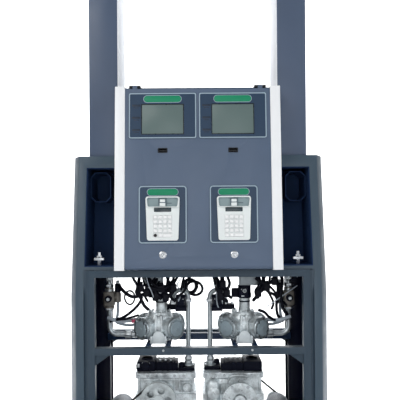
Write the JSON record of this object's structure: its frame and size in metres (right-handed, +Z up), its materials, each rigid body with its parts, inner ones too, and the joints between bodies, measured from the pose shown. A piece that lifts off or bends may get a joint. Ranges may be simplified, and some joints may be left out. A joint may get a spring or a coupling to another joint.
{
  "type": "fuel dispenser",
  "caption": "Electronic fuel dispenser with display head, payment terminals, nozzle bays, piston meters and belt-driven pumps in an open steel cabinet.",
  "frame": {"origin": "middle of the base frame, on the ground", "axes": "+X across the front to the right, +Y from front to rear, +Z up"},
  "size_m": [1.098, 0.5746, 2.3],
  "materials": {
    "frame_paint": "satin powder coat",
    "rail_paint": "satin powder coat",
    "inner_paint": "matt paint",
    "shell_paint": "fine satin powder coat",
    "boot_plastic": "moulded matt",
    "rest_cast": "satin cast",
    "white_paint": "semi-gloss powder coat",
    "light_panel": "opal",
    "fitting_steel": "zinc plated",
    "black_steel": "satin",
    "box_steel": "satin cast",
    "door_paint": "fine satin powder coat",
    "window_film": "semi-gloss film",
    "lcd_face": "glossy LCD",
    "cast_silver": "cast and machined",
    "black_cast": "satin",
    "motor_paint": "satin",
    "belt_rubber": "matt",
    "cap_cast": "machined cast",
    "pipe_steel": "zinc plated",
    "cable_black": "satin sheath",
    "bolt_zinc": "zinc plated",
    "terminal_plastic": "moulded satin",
    "black_plastic": "gloss",
    "lock_chrome": "plated",
    "key_silicone": "moulded satin",
    "pulley_iron": "machined"
  },
  "bodies": {
    "cabinet": {"base_frame": "frame_paint", "front_frame": "frame_paint", "rear_frame": "frame_paint", "meter_rails": "rail_paint", "cabinet_walls": "inner_paint", "left_side_shell": "shell_paint", "right_side_shell": "shell_paint", "left_nozzle_boot": "boot_plastic", "right_nozzle_boot": "boot_plastic", "nozzle_rests": "rest_cast", "left_column": "shell_paint", "right_column": "shell_paint", "column_liners": "white_paint", "header_case": "white_paint", "header_light_panels": "light_panel", "hose_glands": "fitting_steel", "head_case": "frame_paint", "left_cheek": "white_paint", "right_cheek": "white_paint", "door_hinges": "black_steel", "electronics_box": "box_steel", "rear_cover": "door_paint", "rear_display_windows": "window_film", "rear_lcd_modules": "lcd_face", "left_pump": "cast_silver", "right_pump": "cast_silver", "pump_heads": "black_cast", "left_motor": "motor_paint", "right_motor": "motor_paint", "drive_belts": "belt_rubber", "left_meter": "cast_silver", "right_meter": "cast_silver", "meter_caps": "cap_cast", "pulsers": "black_cast", "solenoid_valves": "black_cast", "junction_boxes": "box_steel", "discharge_pipes": "pipe_steel", "delivery_pipes": "pipe_steel", "suction_pipes": "pipe_steel", "cable_looms": "cable_black", "cable_coil": "cable_black", "fasteners": "bolt_zinc"},
    "door": {"front_door": "door_paint", "display_windows": "window_film", "lcd_modules": "lcd_face", "terminal_plates": "window_film", "left_terminal": "terminal_plastic", "right_terminal": "terminal_plastic", "totalisers": "black_plastic", "lock_barrels": "lock_chrome"},
    "left_key_mat": {"left_key_mat": "key_silicone"},
    "right_key_mat": {"right_key_mat": "key_silicone"},
    "left_lock_plug": {"left_lock_plug": "lock_chrome"},
    "right_lock_plug": {"right_lock_plug": "lock_chrome"},
    "left_pump_pulley": {"left_pump_pulley": "pulley_iron"},
    "right_pump_pulley": {"right_pump_pulley": "pulley_iron"},
    "left_motor_pulley": {"left_motor_pulley": "pulley_iron"},
    "right_motor_pulley": {"right_motor_pulley": "pulley_iron"},
    "left_boot_lever": {"left_boot_lever": "rest_cast"},
    "right_boot_lever": {"right_boot_lever": "rest_cast"}
  },
  "joints": [
    {"name": "front_door_hinge", "type": "hinge", "parent": "cabinet", "child": "door", "pos_m": [0, -0.20998, 1.55241], "axis": [-1, 0, 0], "range_deg": [0, 75]},
    {"name": "left_keys_press", "type": "slide", "parent": "door", "child": "left_key_mat", "axis": [0, 0.9964, -0.0844], "range_m": [0, 0.0012], "stiffness_N_per_m": 1500, "springref_m": -0.001},
    {"name": "left_lock_turn", "type": "hinge", "parent": "door", "child": "left_lock_plug", "pos_m": [-0.147, -0.27985, 0.84578], "axis": [0, 0.9964, -0.0844], "range_deg": [0, 90]},
    {"name": "right_keys_press", "type": "slide", "parent": "door", "child": "right_key_mat", "axis": [0, 0.9964, -0.0844], "range_m": [0, 0.0012], "stiffness_N_per_m": 1500, "springref_m": -0.001},
    {"name": "right_lock_turn", "type": "hinge", "parent": "door", "child": "right_lock_plug", "pos_m": [0.147, -0.27985, 0.84578], "axis": [0, 0.9964, -0.0844], "range_deg": [0, 90]},
    {"name": "left_pump_spin", "type": "hinge", "parent": "cabinet", "child": "left_pump_pulley", "pos_m": [-0.178, -0.165, 0.214], "axis": [0, 1, 0], "continuous": true},
    {"name": "left_motor_spin", "type": "hinge", "parent": "cabinet", "child": "left_motor_pulley", "pos_m": [-0.365, -0.165, 0.114], "axis": [0, 1, 0], "continuous": true},
    {"name": "right_pump_spin", "type": "hinge", "parent": "cabinet", "child": "right_pump_pulley", "pos_m": [0.178, 0.165, 0.214], "axis": [0, 1, 0], "continuous": true},
    {"name": "right_motor_spin", "type": "hinge", "parent": "cabinet", "child": "right_motor_pulley", "pos_m": [0.365, 0.165, 0.114], "axis": [0, 1, 0], "continuous": true},
    {"name": "left_lever_tilt", "type": "hinge", "parent": "cabinet", "child": "left_boot_lever", "pos_m": [-0.4295, -0.15, 0.832], "axis": [-1, 0, 0], "range_deg": [0, 25], "stiffness_Nm_per_rad": 0.3, "springref_deg": -17.19},
    {"name": "right_lever_tilt", "type": "hinge", "parent": "cabinet", "child": "right_boot_lever", "pos_m": [0.4295, -0.15, 0.832], "axis": [-1, 0, 0], "range_deg": [0, 25], "stiffness_Nm_per_rad": 0.3, "springref_deg": -17.19}
  ],
  "couplings": [
    {"joint": "left_motor_spin", "follows": "left_pump_spin", "ratio": 2.6732},
    {"joint": "right_motor_spin", "follows": "right_pump_spin", "ratio": 2.6732}
  ]
}
